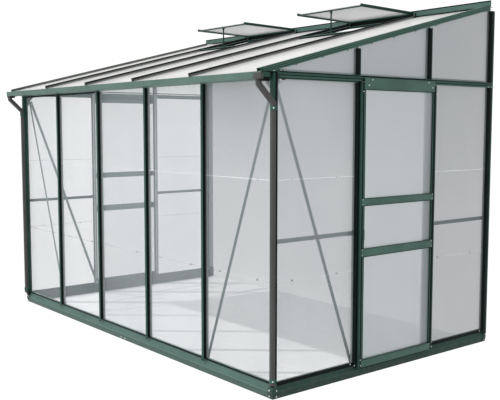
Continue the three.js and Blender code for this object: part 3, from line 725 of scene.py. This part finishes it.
# ---------------------------------------------------------------- gutter end stops and downpipes
for side, sx, px in (("right", 6.0, 27.0), ("left", -3136.0, -3083.0)):
    right = side == "right"
    p = Part()
    p.tube([(sx - 5, -100, 1681), (sx - 5, -100, 1655), (px - 1, -25, 1560.5), (px - 1, -25, 1532)], 16.2, 13.4, sides=32, mat=0, inner=1)
    x0, x1 = (-20.0, 45.6) if right else (-LENGTH - 45.6, -LENGTH + 20.0)
    e0, e1 = (43.3, 45.6) if right else (-LENGTH - 45.6, -LENGTH - 43.3)
    # moulded end stop: collar round the gutter's lower front corner
    if right:
        p.section("x", [(-122.8, 1680.2), (-60.2, 1680.2), (-60.2, 1682.6), (-120.4, 1682.6), (-120.4, 1710), (-122.2, 1710), (-122.8, 1709.4)], x0, x1)
        p.section("x", [(-122.8, 1681.4), (-106, 1681.4), (-106, 1710), (-122.2, 1710)], e0, e1)
    else:
        p.section("x", [(-120.2, 1680.2), (-60.2, 1680.2), (-60.2, 1682.6), (-120.2, 1682.6)], x0, x1)
    make(f"downpipe_neck_{side}", p, "frame", [PIPE, PIPE_BORE_SHADE], bevel=0.5, replaces=[f"downpipe_{side}"])
    # end cap of the gutter behind the collar, and black blocks under and at the end of the gutter by the corner post:
    # painted shade
    p = Part()
    p.section("x", [(-105.8 if right else -121.5, 1690), (-62.2, 1690), (-62.2, 1711), (-105.8 if right else -121.5, 1716)], e0, e1)
    make(f"gutter_end_cap_{side}", p, "frame", [G_POST], bevel=0.3)
    p = Part()
    bx = (20, 43) if right else (-LENGTH - 43, -LENGTH - 20)
    p.box(bx[0], bx[1], -94, -62, 1669, 1679.8)
    p.box(e0, e1, -105.6 if right else -118, -62.2, 1671, 1689.8)
    make(f"gutter_end_shade_{side}", p, "frame", [BLACK], bevel=0.8)
    p = Part()
    p.tube([(px, -25, 1534), (px, -25, 1400), (px, -25, 900), (px, -25, 400), (px, -25, 101)], 14.0, 12.0, sides=32, mat=0, inner=1)
    make(f"downpipe_{side}_pipe", p, "frame", [PIPE, PIPE_BORE_SHADE])
    # shoe: socket with a slanted mouth turned to the front
    p = Part()
    n = 32
    rings = []
    for rad in (16.4, 13.6):
        rings.append([(px + rad * math.cos(2 * math.pi * q / n), -25 + rad * math.sin(2 * math.pi * q / n)) for q in range(n)])
    (ro, ri) = rings

    def mouth(x, y):
        return 82.0 - ((y + 25) - (x - px) * (1 if right else -1)) / 23.2 * 10.5

    base = len(p.v)
    pts, fcs, inn = [], [], []
    for ring in (ro, ri):
        for top in (False, True):
            pts += [P(x, y, 106.0 if top else mouth(x, y)) for x, y in ring]
    for q in range(n):
        r = (q + 1) % n
        fcs.append([q, r, n + r, n + q])
        inn.append([2 * n + r, 2 * n + q, 3 * n + q, 3 * n + r])
        fcs.append([q, r, 2 * n + r, 2 * n + q])
        fcs.append([n + q, n + r, 3 * n + r, 3 * n + q])
    p._add(pts, fcs, 0)
    for f in inn:
        p.f.append([base + i for i in f])
        p.m.append(1)
    make(f"downpipe_shoe_{side}", p, "frame", [PIPE, PIPE_BORE_SHADE], bevel=0.3)
    # pipe clips: a band round the pipe with an ear plate back to the post
    p = Part()
    for z0, z1 in ((1525.5, 1546), (104, 125)):
        p.tube([(px, -25, z0), (px, -25, (z0 + z1) / 2), (px, -25, z1)], 17.2, 14.2 if z0 < 1000 else 16.0, sides=32)
        ear = (-14, 44) if right else (-LENGTH - 14, -LENGTH + 44)
        p.box(ear[0], ear[1], -12.6, -10.6, z0 + 1.5, z1 - 1.5)
    make(f"pipe_clips_{side}", p, "frame", [G_CLIP], bevel=0.4)
    p = Part()
    for z in (1536, 115):
        a = math.radians(55)
        nrm = Vector((math.sin(a), -math.cos(a), 0)) if right else Vector((-math.sin(a), -math.cos(a), 0))
        p.screw(tuple(Vector((px, -25, z)) + nrm * 17.2), nrm, 4.6, 3.0)
    make(f"pipe_clip_screws_{side}", p, "frame", [ZINC])

# ---------------------------------------------------------------- sliding doors
DY0, DY1 = 625.0, 1274.0
for side, mir in SIDES:
    body = f"door_{side}"
    # stiles: hollow-looking drawn section with an outer nose, a shallow channel and the pane groove
    stile = [(15.0, 0.0), (33.4, 0.0), (34.2, 0.8), (34.2, 7.0), (32.6, 8.2), (32.6, 10.4), (34.2, 11.6), (34.2, 25.6), (33.6, 27.0),
             (24.8, 27.0), (24.8, 19.0), (20.2, 19.0), (20.2, 27.0), (15.0, 27.0)]
    p = Part(mirror=mir)
    p.section("z", [(x, DY0 + v) for x, v in stile], 57, 1690.4)
    make(f"door_stile_{side}_eave", p, body, [G_STILE], bevel=0.35, replaces=[f"door_frame_{side}"])
    p = Part(mirror=mir)
    p.section("z", [(x, DY1 - v) for x, v in stile], 57, 1690.4)
    make(f"door_stile_{side}_wall", p, body, [G_STILE], bevel=0.35)
    # dark draught seals let into the stiles' faces
    p = Part(mirror=mir)
    p.section("z", [(34.3, 626.2), (35.2, 627), (35.2, 635.4), (34.3, 636)], 60, 1686)
    p.section("z", [(34.3, 1247.4), (35.4, 1248.2), (35.4, 1264.8), (34.3, 1265.6)], 60, 1686)
    make(f"door_stile_seals_{side}", p, body, [BLACK], bevel=0.2, segments=1)

    def plate(z0, z1, y0, y1, ribs):
        """Lapped plate: a pressed face with drawn grooves at the heights in ribs."""
        face = [(34.3, z0), (36.0, z0), (36.6, z0 + 0.8)]
        for r in ribs:
            face += [(36.6, r - 2.2), (35.5, r - 1.0), (35.5, r + 1.0), (36.6, r + 2.2)]
        face += [(36.6, z1 - 0.8), (36.0, z1), (34.3, z1)]
        q = Part(mirror=mir)
        q.section("y", face, y0, y1)
        q.section("y", [(36.65, z0 + 0.4), (36.95, z0 + 0.4), (36.95, z0 + 3.6), (36.65, z0 + 3.6)], y0, y1, 1)
        q.section("y", [(36.65, z1 - 3.2), (36.95, z1 - 3.2), (36.95, z1 - 0.4), (36.65, z1 - 0.4)], y0, y1, 1)
        return q

    q = plate(1644.6, 1717.3, 641, 1252, (1653, 1706))
    q.box(24.9, 34.2, DY0 + 27.1, DY1 - 27.1, 1656, 1684)
    make(f"door_header_{side}", q, body, [G_DOOR, BLACK], bevel=0.3)
    for nm, z0, z1 in (("upper", 993, 1038), ("lower", 701, 752)):
        q = plate(z0, z1, 628.5, 1254, (z0 + 9, z1 - 9))
        q.box(24.9, 34.2, DY0 + 27.1, DY1 - 27.1, z0 + 8, z1 - 8)
        make(f"door_rail_{side}_{nm}", q, body, [G_DOOR, BLACK], bevel=0.3)
    q = plate(57.2, 106, 635, 1252, (66, 97))
    q.box(24.9, 34.2, DY0 + 27.1, DY1 - 27.1, 60, 99)
    q.box(15.2, 24.6, DY0 + 27.1, DY1 - 27.1, 60, 69)
    make(f"door_foot_{side}", q, body, [G_DOOR, BLACK], bevel=0.3)
    # panes between the rails
    p = Part(mirror=mir)
    for z0, z1 in ((71, 724), (727, 1013), (1016, 1661)):
        p.section("x", [(DY0 + 19.5, z0), (DY1 - 19.5, z0), (DY1 - 19.5, z1), (DY0 + 19.5, z1)], 21.0, 24.0)
    make(f"door_panes_{side}", p, body, [DOOR_GLASS if side == "right" else FAR_GLASS], bevel=0.4, segments=1, replaces=[f"door_glass_{side}"], shadow=False)
    # wedge seals inside the stiles
    p = Part(mirror=mir)
    for a, b in ((DY0 + 27.2, DY0 + 30.2), (DY1 - 30.2, DY1 - 27.2)):
        for z0, z1 in ((71, 701), (752, 993), (1038, 1644)):
            p.section("z", [(24.2, a), (26.6, a if a < 900 else b), (26.2, (a + b) / 2), (24.2, b)], z0, z1)
    make(f"door_seals_{side}", p, body, [RUBBER])
    # hangers: nylon wheels in the track, on bolts through the header
    p = Part(mirror=mir)
    for y in (687, 1212):
        p.lathe((15.4, y, 1704.6), (1, 0, 0), [(0, 0), (7.4, 0), (8.4, 0.8), (8.4, 5.4), (7.4, 6.2), (0, 6.2)], 24, 0)
        p.lathe((21.8, y, 1704.6), (1, 0, 0), [(0, 0), (2.0, 0), (2.0, 12.3), (0, 12.3)], 12, 1)
        p.lathe((34.2 - 4.2, y, 1704.6), (1, 0, 0), [(0, 0), (5.2, 0), (5.2, 4.0), (0, 4.0)], 6, 1)
    make(f"door_rollers_{side}", p, body, [NYLON, STEEL], bevel=0.2, segments=1)
    p = Part(mirror=mir)
    for y, z in ((701, 1703), (672, 1672), (1194, 1703), (1231, 1674)):
        p.screw((36.7, y, z), (1, 0, 0), 4.4, 2.8)
    for y, z in ((634, 1031), (634, 1003), (634, 744), (634, 714)):
        p.screw((36.8, y, z), (1, 0, 0), 3.0, 1.8)
    for y, z in ((631, 107), (631, 74), (1268.5, 107), (1268.5, 76), (631, 1636), (1268.5, 1636)):
        p.screw((35.2, y, z), (1, 0, 0), 3.4, 2.2)
    for y, z in ((1247, 1031), (1247, 1003), (1247, 744), (1247, 712)):
        p.screw((36.7, y, z), (1, 0, 0), 3.0, 1.8)
    make(f"door_screws_{side}", p, body, [ZINC])
    # finger pull: a bent strip on the eave stile, and its mate on the other side
    p = Part(mirror=mir)
    p.section("z", [(34.4, 640), (35.8, 640), (36.4, 645), (36.6, 651.4), (35.6, 651.6), (35.2, 646), (34.4, 644)], 800, 860)
    p.section("z", [(14.6, 640), (13.2, 640), (12.6, 645), (12.4, 651.4), (13.4, 651.6), (13.8, 646), (14.6, 644)], 800, 860)
    make(f"door_pull_{side}", p, body, [G_STILE], bevel=0.3)

# ---------------------------------------------------------------- gable rail ends, inner flange, gussets, brackets
for side, mir in SIDES:
    p = Part(mirror=mir)
    p.section("y", [(-28.2, 1731), (-30.6, 1731), (-30.6, 1739), (-28.2, 1739)], 34, 1843)
    make(f"gable_inner_flange_{side}", p, "frame", [G_INNER], bevel=0.4)
    # gussets in the top corner, one behind each wall's glass
    p = Part(mirror=mir)
    p.section("y", [(-24, 1681), (-92, 1681), (-92, 1672), (-33, 1606), (-24, 1606)], 24.6, 26.8)
    make(f"gusset_front_{side}", p, "frame", [G_INNER], bevel=0.3)
    p = Part(mirror=mir)
    p.section("x", [(29, 1727), (112, 1727), (112, 1718), (40, 1640), (29, 1640)], -26.6, -24.6)
    make(f"gusset_gable_{side}", p, "frame", [G_INNER], bevel=0.3)
    # bracket ends of the middle rails, next to the uprights
    p = Part(mirror=mir)
    p.section("y", [(-16, 825), (-15.1, 825), (-15.1, 851), (-16, 851)], BAY - 56, BAY - 10)
    p.section("y", [(-16, 825), (-15.1, 825), (-15.1, 851), (-16, 851)], 2 * BAY + 10, 2 * BAY + 20)
    make(f"mid_rail_brackets_{side}", p, "frame", [BLACK], bevel=0.2, segments=1)
    # corner plate between verge and eave, and black blocks at the door end of the lintel lip and by the rail's front
    # end: painted shade
    p = Part(mirror=mir)
    p.section("x", [(-58, 1719.5), (30, 1719.5), (30, roof_z(30, -16)), (-58, roof_z(-58, -16))], 10.4, 13.6)
    make(f"eave_corner_plate_{side}", p, "frame", [G_POST], bevel=0.4)
    p = Part(mirror=mir)
    p.box(17.4, 26.6, 604.4, 624.6, 1683, 1692.6)
    p.box(27.2, 33.8, 626, 640.8, 1690.8, 1699)
    p.box(17.2, 19.0, 40, 64, 1680, 1686.6)
    make(f"track_end_shade_{side}", p, "frame", [BLACK], bevel=0.4)
    # screw plate on top of the rail, shadow lines drawn in the track, and the verge's nose piece
    p = Part(mirror=mir)
    p.box(13.2, 17.2, 48, 64, 1726.4, 1736)
    p.section("x", [(-92, roof_z(-92, -21)), (-34, roof_z(-34, -21)), (-34, roof_z(-34, -8)), (-92, roof_z(-92, -8))], 12.2, 13.6)
    make(f"verge_nose_{side}", p, "frame", [G_POST], bevel=0.3)
    p = Part(mirror=mir)
    p.section("y", [(13.1, 1703.6), (13.5, 1704), (13.5, 1707), (13.1, 1707.4)], 26, 1860)
    p.section("y", [(13.1, 1719), (13.5, 1719.4), (13.5, 1723.2), (13.1, 1723.4)], 26, 1860)
    make(f"track_lines_{side}", p, "frame", [BLACK], bevel=0.1, segments=1)
    # bolts
    p = Part(mirror=mir)
    p.bolt((12.2, 34, 1681), (1, 0, 0), 4.6, 3.6)
    p.screw((17.3, 56, 1730), (1, 0, 0), 3.8, 2.4)
    for y in (1799, 1827):
        p.screw((19.3, y, 1724), (0, 0, 1), 0.8, 0.4)
    p.screw((27.2, 1806, 1697.5), (1, 0, 0), 3.4, 2.2)
    p.screw((27.2, 1846, 1697.5), (1, 0, 0), 3.4, 2.2)
    p.screw((10.2, 590 + 20, 72), (1, 0, 0), 3.2, 2.2)
    p.screw((-6, 590, 80), (1, 0, 0), 3.8, 2.8)
    make(f"gable_bolts_{side}", p, "frame", [ZINC])
    # nuts on the braces' ends
    p = Part(mirror=mir)
    p.bolt((-31.5, 54, 1622), (-1, 0, 0), 5.4, 4.4)
    p.bolt((-31.5, 616, 88), (-1, 0, 0), 5.4, 4.4)
    p.bolt((-54, 31.5, 1622), (0, 1, 0), 5.4, 4.4)
    p.bolt((-620, 31.5, 88), (0, 1, 0), 5.4, 4.4)
    p.screw((-28.5, 612, 97), (1, 0, 0), 4.4, 3.2)
    p.screw((-616, 28.5, 97), (0, -1, 0), 4.4, 3.2)
    make(f"brace_bolts_{side}", p, "frame", [STEEL], bevel=0.2, segments=1)
    # bolts hanging in the verge's slot, seen from below, every 190 mm
    p = Part(mirror=mir)
    for i in range(7):
        y = 150 + i * 190
        c = (2.0, y + 7.2 * math.sin(PITCH), roof_z(y) - 7.2 * math.cos(PITCH))
        p.lathe(c, (0, math.sin(PITCH), -math.cos(PITCH)), [(0, 0), (3, 0), (3, 8), (6.8, 8), (6.8, 11.6), (6, 12.2), (0, 12.2)], 14)
    make(f"verge_bolts_{side}", p, "frame", [G_FAR_BRACE], bevel=0.2, segments=1)

# ---------------------------------------------------------------- roof vents
def vent_place(i):
    rot = Matrix.Rotation(VENT_REST, 3, "X")
    base = Vector((VENT_X[i], HINGE[0], HINGE[1]))

    def place(p):
        # p came through P(); undo it, turn about the hinge line, and put it back
        q = Vector((p[0] * 1000 - OX, p[1] * 1000 - OY, p[2] * 1000))
        return P(*(base + rot @ q))
    return place


L, W2 = 525.0, 317.0
for i in range(2):
    body = f"vent_{i + 1}"
    place = vent_place(i)
    side_bar = [(0.0, 0.6), (15.8, 0.6), (15.8, 4.4), (14.6, 4.4), (14.6, 9.6), (9.9, 9.6), (9.9, 13.4), (15.8, 13.4), (15.8, 14.2), (9.0, 15.2), (8.2, 18.6), (0.0, 18.6)]
    p = Part(place=place)
    p.section("y", [(-W2 + u, v) for u, v in side_bar], -L - 7.8, -2.2)
    p.section("y", [(W2 - u, v) for u, v in side_bar], -L - 7.8, -2.2)
    p.section("x", [(-L, 0.6), (-L + 13, 0.6), (-L + 13, 3.4), (-L + 3, 3.4), (-L + 3, 5.0), (-L + 13, 5.0), (-L + 13, 7.4), (-L, 7.4)], -W2 + 16, W2 - 16)
    p.section("x", [(-18, 0.6), (-6, 0.6), (-3.2, 3.0), (-3.2, 12), (-6, 14.2), (-9.5, 14.2), (-9.5, 4.6), (-18, 4.6)], -W2 + 16, W2 - 16)
    # dark line where the pane's seal shows along the side bars
    for sx in (-1, 1):
        p.section("y", [(sx * (W2 + 0.05), 2.6), (sx * (W2 + 0.35), 2.8), (sx * (W2 + 0.35), 5.0), (sx * (W2 + 0.05), 5.2)], -L - 6, -4, 1)
    make(f"vent_frame_{i + 1}", p, body, [G_VENT, BLACK], bevel=0.35, replaces=[f"vent_sash_{i + 1}"])
    p = Part(place=place)
    p.section("z", [(-W2 + 10.3, -L + 2.2), (W2 - 10.3, -L + 2.2), (W2 - 10.3, -9.9), (-W2 + 10.3, -9.9)], 9.8, 13.2)
    make(f"vent_pane_{i + 1}", p, body, [VENT_GLASS], bevel=0.4, segments=1, shadow=False)
    # corner screws and the stay's fork
    p = Part(place=place)
    for sx in (-1, 1):
        p.screw((sx * (W2 - 4.2), -L - 2, 18.6), (0, 0, 1), 2.8, 1.0)
        p.screw((sx * (W2 - 4.2), -12, 18.6), (0, 0, 1), 2.8, 1.0)
    make(f"vent_screws_{i + 1}", p, body, [ZINC])
    p = Part(place=place)
    for a, b in ((-4.0, -2.4), (2.4, 4.0)):
        p.section("x", [(-507, -10.5), (-493, -10.5), (-493, 0.4), (-507, 0.4)], a, b)
    p.section("z", [(-14, -509), (14, -509), (14, -491), (-14, -491)], 0.4, 1.2)
    make(f"vent_fork_{i + 1}", p, body, [G_VENT], bevel=0.2, segments=1)
    # sill across the hatch, on the roof bars: green top, dark seal on its front
    xc = VENT_X[i]
    p = Part()
    z0 = roof_z(1300)
    p.section("x", [(1301, z0 + 1), (1304, z0 + 1), (1304, z0 + 12), (1314, z0 + 14.5), (1314, z0 - 22), (1316, z0 - 22), (1316, z0 + 17), (1301, z0 + 14)], xc - 299, xc + 299)
    p.section("x", [(1300.2, z0 + 1), (1300.9, z0 + 1), (1300.9, z0 + 10.5), (1300.2, z0 + 10)], xc - 299, xc + 299, 1)
    make(f"vent_sill_{i + 1}", p, "frame", [G_VERGE, BLACK], bevel=0.3)
    p = Part()
    p.box(xc - 9, xc + 9, 1304.2, 1311, z0 - 10, z0 + 11)
    p.lathe((xc - 9, 1309, z0 + 2), (-1, 0, 0), [(0, 0), (2, 0), (2, 5), (0, 5)], 10)
    make(f"stay_peg_{i + 1}", p, "frame", [G_BAR], bevel=0.2, segments=1)
    # black strip on the ridge's face under the sash, a hinge seal that also carries the painted shade of the vent; and
    # the hinge brackets on the ridge, one at each side of the sash
    p = Part()
    p.box(xc - 300, xc + 300, 1828.6, 1829.7, 2190, 2241)
    make(f"hinge_shade_strip_{i + 1}", p, "frame", [BLACK], bevel=0.3, segments=1)
    # black sheets on the sides of the hatch: painted shade
    p = Part()
    for x in (xc - 311 + 10.8, xc + 311 - 10.8):
        a, b = (x, x + 0.7) if x < xc else (x - 0.7, x)
        p.section("roof", [(-18.4, a), (21, a), (21, b), (-18.4, b)], 1318 / math.cos(PITCH), 1815 / math.cos(PITCH))
    make(f"hatch_side_shade_{i + 1}", p, "frame", [BLACK])
    p = Part()
    for sx in (-1, 1):
        x = xc + sx * 326
        p.box(x - 6, x + 6, 1818, 1829.6, 2211, 2236)
        p.lathe((x - 8, 1822.5, 2224), (1, 0, 0), [(0, 0), (5, 0), (5, 16), (0, 16)], 14)
    make(f"vent_hinge_{i + 1}", p, "frame", [G_VENT], bevel=0.4)
    p = Part()
    for sx in (-1, 1):
        x = xc + sx * 326
        for z in (2230, 2217):
            p.screw((x + 1, 1817.8, z), (0, -1, 0), 3.4, 2.0)
    make(f"vent_hinge_screws_{i + 1}", p, "frame", [ZINC])

# black lines along the ridge's face: painted shadow lines; and drawn lines along the verges' outer faces
p = Part()
p.section("x", [(1829.3, 2245.5), (1829.9, 2245.2), (1829.9, 2252.8), (1829.3, 2252.4)], -LENGTH - 13.8, 13.8)
p.section("x", [(1829.3, 2210.4), (1829.9, 2210.2), (1829.9, 2214.6), (1829.3, 2214.2)], -LENGTH - 13.8, 13.8)
make("ridge_shadow_lines", p, "frame", [BLACK], bevel=0.15, segments=1)
for side, mir in SIDES:
    p = Part(mirror=mir)
    w0, w1 = -92 / math.cos(PITCH), 1820 / math.cos(PITCH)
    p.section("roof", [(14.4, 12.1), (14.6, 12.6), (16.6, 12.6), (16.9, 12.1)], w0, w1)
    p.section("roof", [(3.2, 12.1), (3.5, 12.6), (5.3, 12.6), (5.6, 12.1)], w0, w1)
    p.section("roof", [(-6.4, 12.1), (-6.1, 12.6), (-4.3, 12.6), (-4.0, 12.1)], w0, w1)
    p.section("roof", [(0.8, -18.1), (16.6, -18.1), (16.2, -18.8), (1.2, -18.8)], w0, w1, 1)
    make(f"verge_lines_{side}", p, "frame", [BLACK, G_ROOF], bevel=0.15, segments=1)
# black strip under the eave beam over the two far bays: painted shade
p = Part()
for k in (4, 5):
    p.box(-BAY * k + (12 if k == 4 else 60), -BAY * (k - 1) - 12, -14, -11.5, 1667.5 if k == 5 else 1669, 1680.8)
make("eave_shade_strip", p, "frame", [BLACK])

# ---------------------------------------------------------------- floor, light
def make_floor():
    """Pale floor: lit and shaded inside the greenhouse, an evenly lit white sweep outside it."""
    def sheet(name, m, quads):
        v, f = [], []
        for x0, x1, y0, y1 in quads:
            o = len(v)
            v += [P(x0, y0, -0.5), P(x1, y0, -0.5), P(x1, y1, -0.5), P(x0, y1, -0.5)]
            f.append((o, o + 1, o + 2, o + 3))
        me = bpy.data.meshes.new(name)
        me.from_pydata([tuple(q) for q in v], [], f)
        me.materials.append(m)
        o = bpy.data.objects.new(name, me)
        bpy.context.scene.collection.objects.link(o)
        o.visible_glossy = False

    m, nt, bsdf, vec = new_mat("floor_inside")
    col = mix_colour(nt, noise(nt, vec, 0.8, 3.0), (0.80, 0.81, 0.82), (0.86, 0.86, 0.86))
    nt.links.new(col, bsdf.inputs["Base Color"])
    nt.links.new(ramp(nt, noise(nt, vec, 3.0, 2.0), 0.3, 0.7, 0.6, 0.75), bsdf.inputs["Roughness"])
    bsdf.inputs["Specular IOR Level"].default_value = 0.1
    sheet("floor_inside", m, [(-3104, -6, 6, 1882)])
    m, nt, bsdf, vec = new_mat("floor_outside")
    col = mix_colour(nt, noise(nt, vec, 0.8, 3.0), (0.985, 0.985, 0.985), (1.0, 1.0, 1.0))
    nt.links.new(col, bsdf.inputs["Emission Color"])
    bsdf.inputs["Emission Strength"].default_value = 1.04
    bsdf.inputs["Base Color"].default_value = (0, 0, 0, 1)
    bsdf.inputs["Specular IOR Level"].default_value = 0.0
    r = 14000
    sheet("floor_outside", m, [(-r, r, -r, 6), (-r, r, 1882, r), (-r, -3104, 6, 1882), (-6, r, 6, 1882)])


make_floor()


def make_light():
    w = bpy.data.worlds.new("studio")
    bpy.context.scene.world = w
    w.use_nodes = True
    nt = w.node_tree
    bg = nt.nodes["Background"]
    out = nt.nodes["World Output"]
    tc = nt.nodes.new("ShaderNodeTexCoord")
    sep = nt.nodes.new("ShaderNodeSeparateXYZ")
    nt.links.new(tc.outputs["Generated"], sep.inputs[0])
    # soft box overhead and in front, darker to the right: what lights the surfaces
    up = ramp(nt, sep.outputs[2], -0.2, 1.0, 0.0, 0.95)
    front = ramp(nt, sep.outputs[1], 0.2, -1.0, 0.0, 0.5)
    right = ramp(nt, sep.outputs[0], 0.0, 1.0, 0.0, -0.3)
    total = math_node(nt, "ADD", math_node(nt, "ADD", up, front), math_node(nt, "ADD", right, 0.36))
    nt.links.new(math_node(nt, "MAXIMUM", total, 0.05), bg.inputs["Strength"])
    bg.inputs["Color"].default_value = (1.0, 1.0, 1.0, 1)
    # broad pale surroundings: what the panes mirror
    refl = math_node(nt, "ADD", ramp(nt, sep.outputs[1], -1.0, 1.0, 0.93, 0.53), ramp(nt, sep.outputs[2], 0.0, 1.0, 0.0, 0.3))
    bg3 = nt.nodes.new("ShaderNodeBackground")
    bg3.inputs["Color"].default_value = (1, 1, 1, 1)
    nt.links.new(refl, bg3.inputs["Strength"])
    bg2 = nt.nodes.new("ShaderNodeBackground")
    bg2.inputs["Color"].default_value = (1, 1, 1, 1)
    bg2.inputs["Strength"].default_value = 1.05
    lp = nt.nodes.new("ShaderNodeLightPath")
    mix0 = nt.nodes.new("ShaderNodeMixShader")
    nt.links.new(lp.outputs["Is Glossy Ray"], mix0.inputs[0])
    nt.links.new(bg.outputs[0], mix0.inputs[1])
    nt.links.new(bg3.outputs[0], mix0.inputs[2])
    mix = nt.nodes.new("ShaderNodeMixShader")
    nt.links.new(lp.outputs["Is Camera Ray"], mix.inputs[0])
    nt.links.new(mix0.outputs[0], mix.inputs[1])
    nt.links.new(bg2.outputs[0], mix.inputs[2])
    nt.links.new(mix.outputs[0], out.inputs["Surface"])
    sun = bpy.data.lights.new("sun", "SUN")
    sun.energy = 1.6
    sun.angle = math.radians(1.2)
    o = bpy.data.objects.new("sun", sun)
    bpy.context.scene.collection.objects.link(o)
    d = Vector((0.497, 0.585, -1.0)).normalized()
    o.rotation_euler = d.to_track_quat("-Z", "Y").to_euler()


make_light()
